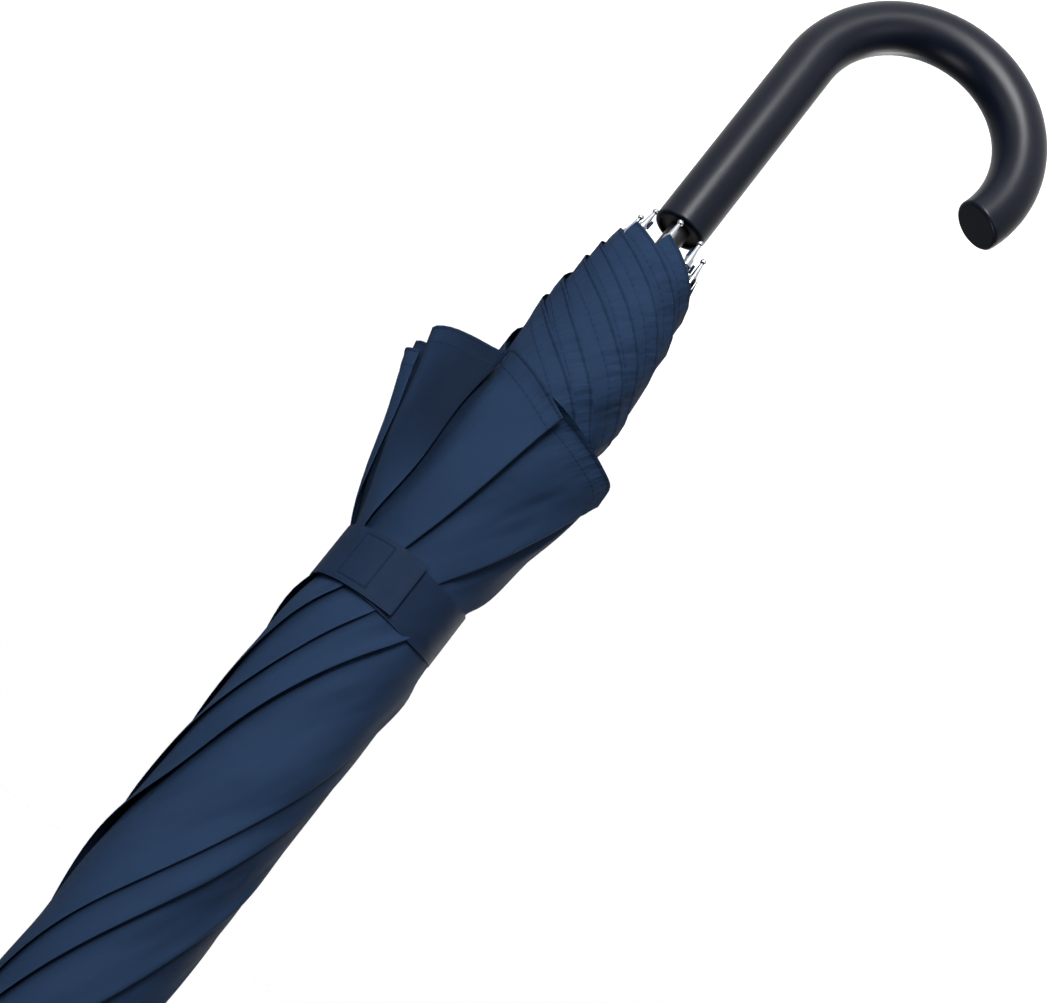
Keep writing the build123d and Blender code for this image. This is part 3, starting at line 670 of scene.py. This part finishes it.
def foldedCloth():
    # the open gore folded back between its ribs: each point is given the share of the far edge's turn that
    # brings it into a narrow lane, where the share is also the one that its place in the lane gives
    half = math.radians(45.0)
    reach = spread["pivotRadius"]
    back = applyTo(opening(0.0, spread["openAngle"]).inverted(), openTarget())
    centre = np.array(((reach + reach * math.cos(half)) / 2, reach * math.sin(half) / 2, spread["pivotHeight"]))
    axis = np.array((Matrix.Rotation(math.radians(-90.0), 4, "Z") @ Vector(spread["farAxis"])).normalized())
    lane = np.array([-math.sin(half / 2), math.cos(half / 2), 0.0])

    def turned(share):
        angle = -np.radians(spread["turnAngle"]) * share
        arm = back - centre
        cos, sin = np.cos(angle)[:, None], np.sin(angle)[:, None]
        across = np.cross(np.broadcast_to(axis, arm.shape), arm)
        return arm * cos + across * sin + axis * (arm @ axis)[:, None] * (1 - cos) + centre

    def placeInLane(share):
        return halved(lambda t: t * t * (3 - 2 * t) > share, len(share))

    def tooFar(share):
        return (turned(share) @ lane + spread["lane"] / 2) / spread["lane"] <= placeInLane(share)

    share = halved(tooFar, len(back))
    share = np.where(share < 1e-6, 0.0, np.where(share > 1 - 1e-6, 1.0, share))
    rest = turned(share)
    print("spread cloth: rest radius", round(float(np.hypot(rest[:, 0], rest[:, 1]).max()), 1), "mm, heights",
          round(float(rest[:, 2].min()), 1), round(float(rest[:, 2].max()), 1))
    return rest, lane


def buildGore(k, rest):
    rows, columns = spread["rows"], spread["columns"]
    turn = Matrix.Rotation(math.radians(90.0 + 45.0 * k), 4, "Z")
    v, u = np.meshgrid(np.arange(columns + 1) / columns, np.arange(rows + 1) / rows)
    across = (v - 0.5) * spread["gore"] / 1000 * u
    along = (1 - u ** 0.9) * spread["length"] / 1000
    side = (0.5 - np.abs(v - 0.5)) * spread["gore"] / 1000 * u
    stitch = 0.6 * np.exp(-((side - 0.004) / 0.0012) ** 2)
    faces = gridFaces(rows + 1, columns + 1)[:, [0, 3, 2, 1]]      # faces outwards
    gore = clothPiece(f"openGore{k + 1}", (applyTo(turn, rest) / 1000).tolist(), faces.tolist(),
                      np.stack([across.ravel(), along.ravel()], 1), np.zeros_like(v), stitch, "navyCloth")
    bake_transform(gore)
    thickness = gore.modifiers.new("thickness", "SOLIDIFY")
    thickness.thickness = spread["thick"] / 1000
    thickness.offset = 0.0
    return gore


foldedRest, laneDirection = foldedCloth()
spreadGores = [buildGore(k, foldedRest) for k in range(8)]
print("spread cloth ready:", len(spreadGores), "gores")


# the cloth under the crown is a steep collar in the roll
collar = {
    # height, radius
    "profile": ((637.4, 10.7), (630.0, 11.2), (615.0, 14.0), (600.0, 16.8), (585.0, 19.4), (574.0, 21.3)),
    "flat": (0.128, 0.073), "area": 0.00646,      # m and m2, laid flat
    "openShare": 0.172, "thick": 0.4, "around": 96,
}


def buildCollar():
    top, bottom = collar["profile"][0][0], collar["profile"][-1][0]
    rows, around = len(collar["profile"]) * 3 - 2, collar["around"]
    heights = np.linspace(top, bottom, rows)
    widths = np.interp(-heights, [-z for z, _ in collar["profile"]], [r for _, r in collar["profile"]])
    points = []
    for offset in (0.0, -collar["thick"]):
        for z, r in zip(heights, widths):
            for i in range(around):
                a = 2 * math.pi * i / around
                points.append(((r + offset) * math.cos(a) / 1000, (r + offset) * math.sin(a) / 1000, z / 1000))
    faces = []
    inner = rows * around
    last = (rows - 1) * around
    for i in range(around):
        j = (i + 1) % around
        for row in range(0, last, around):
            a, b, c, d = row + i, row + around + i, row + around + j, row + j
            faces += [(a, b, c, d), (inner + d, inner + c, inner + b, inner + a)]
        faces += [(i, j, inner + j, inner + i), (last + j, last + i, inner + last + i, inner + last + j)]
    place = np.array(points)
    seam = np.exp(-((place[:, 2] * 1000 - (bottom + 5.0)) / 3.0) ** 2)
    # far from the hem, so that no hem line falls on it
    piece = clothPiece("crownPatch", points, faces, place[:, :2] + 1.0, np.zeros(len(points)), seam, "navyCloth")
    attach(piece, "frame")
    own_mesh(piece)


buildCollar()
print("crown patch ready")


# the strap's pieces, in mm and degrees round the roll
strapBandLook = {"thick": 0.55, "uneven": 0.25, "drop": 2.4, "dropAt": 50.0, "length": 188.5}
strapEndLook = {
    "radius": 31.0, "thick": 0.8, "from": 75.0, "turn": 75.5, "steps": 160,
    "lift": 1.1, "tuck": 0.25, "tuckFrom": 146.0,      # the free end stands off, the sewn end is down on the band
    "square": (98.0, 124.0), "inset": 2.6,      # the stitched square, and its distance from the edges
    "length": 40.9,
}
low, high = strap["middle"] - strap["width"] / 2, strap["middle"] + strap["width"] / 2
fineLevels = [low + (high - low) * i / 50 for i in range(51)]


def squareStitches(around, level, firstRadius):
    # the outline of the stitched square, on the outer face
    arcs = [math.radians(a) * firstRadius for a in strapEndLook["square"]]
    levels = low + strapEndLook["inset"], high - strapEndLook["inset"]
    inside = (around > arcs[0] - 0.4) & (around < arcs[1] + 0.4)
    inside &= (level > levels[0] - 0.4) & (level < levels[1] + 0.4)
    edge = np.min([np.abs(around - arc) for arc in arcs] + [np.abs(level - line) for line in levels], 0)
    return np.where(inside, np.exp(-(edge / 0.35) ** 2), 0)


def webbing(name, rings, levels, body, thick, closed=False, square=False):
    # rings gives azimuth, radius and shift along the axis round the roll, and levels the heights across the strip
    count, across = len(rings), len(levels)
    lean = float(curve(roll["lean"], strap["middle"]))
    points = []
    for offset in (thick / 2, -thick / 2):
        for azimuth, radius, shift in rings:
            a, r = math.radians(azimuth), radius + offset
            for level in levels:
                height = gripEnd + level + shift
                points.append(((lean + r * math.cos(a)) / 1000, r * math.sin(a) / 1000, height / 1000))
    n = count * across
    faces = []
    for i in range(count if closed else count - 1):
        here, there = i * across, (i + 1) % count * across
        for m in range(across - 1):
            faces.append((here + m, there + m, there + m + 1, here + m + 1))
            faces.append((n + here + m + 1, n + there + m + 1, n + there + m, n + here + m))
        faces.append((here, n + here, n + there, there))
        end = across - 1
        faces.append((there + end, n + there + end, n + here + end, here + end))
    if not closed:
        for start, flip in ((0, False), (n - across, True)):
            for m in range(across - 1):
                quad = (start + m, start + m + 1, n + start + m + 1, n + start + m)
                faces.append(quad[::-1] if flip else quad)
    around = np.repeat([math.radians(a) * r for a, r, _ in rings], across)
    level = np.tile(levels, count)
    uv = np.tile(np.stack([level - levels[0], around], 1), (2, 1)) / 1000
    seam = np.zeros(2 * n)
    if square:
        seam[:n] = squareStitches(around, level, rings[0][1])
    piece = clothPiece(name, points, faces, uv, np.zeros(2 * n), seam, "strapCloth")
    crisp = piece.modifiers.new("crisp", "EDGE_SPLIT")
    crisp.split_angle = math.radians(40)
    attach(piece, body)
    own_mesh(piece)
    return piece


def bandRing(azimuth):
    # the part that comes round from behind lies a little lower under the end
    drop = strapBandLook["drop"] * float(ease(1 - abs(azimuth - strapBandLook["dropAt"]) / 70.0))
    return azimuth, strap["radius"] + strapBandLook["uneven"] * math.sin(math.radians(3 * azimuth + 40)), drop


def endRing(azimuth):
    lifted = strapEndLook["lift"] * math.exp(-((azimuth - strapEndLook["from"]) / 6.0) ** 2)
    tucked = strapEndLook["tuck"] * float(ease((azimuth - strapEndLook["tuckFrom"]) / 4))
    return azimuth, strapEndLook["radius"] + lifted - tucked, 0.0


bandRings = [bandRing(azimuth) for azimuth in range(0, 360, 3)]
steps = strapEndLook["steps"]
endRings = [endRing(strapEndLook["from"] + strapEndLook["turn"] * i / steps) for i in range(steps + 1)]
band = webbing("strapBand", bandRings, fineLevels[::5], "rib_1", strapBandLook["thick"], closed=True)
end = webbing("strapEnd", endRings, fineLevels, "strap_end", strapEndLook["thick"], square=True)
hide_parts("strap_band")
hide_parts("strap_tab", "strap_patch")
print("strap ready")
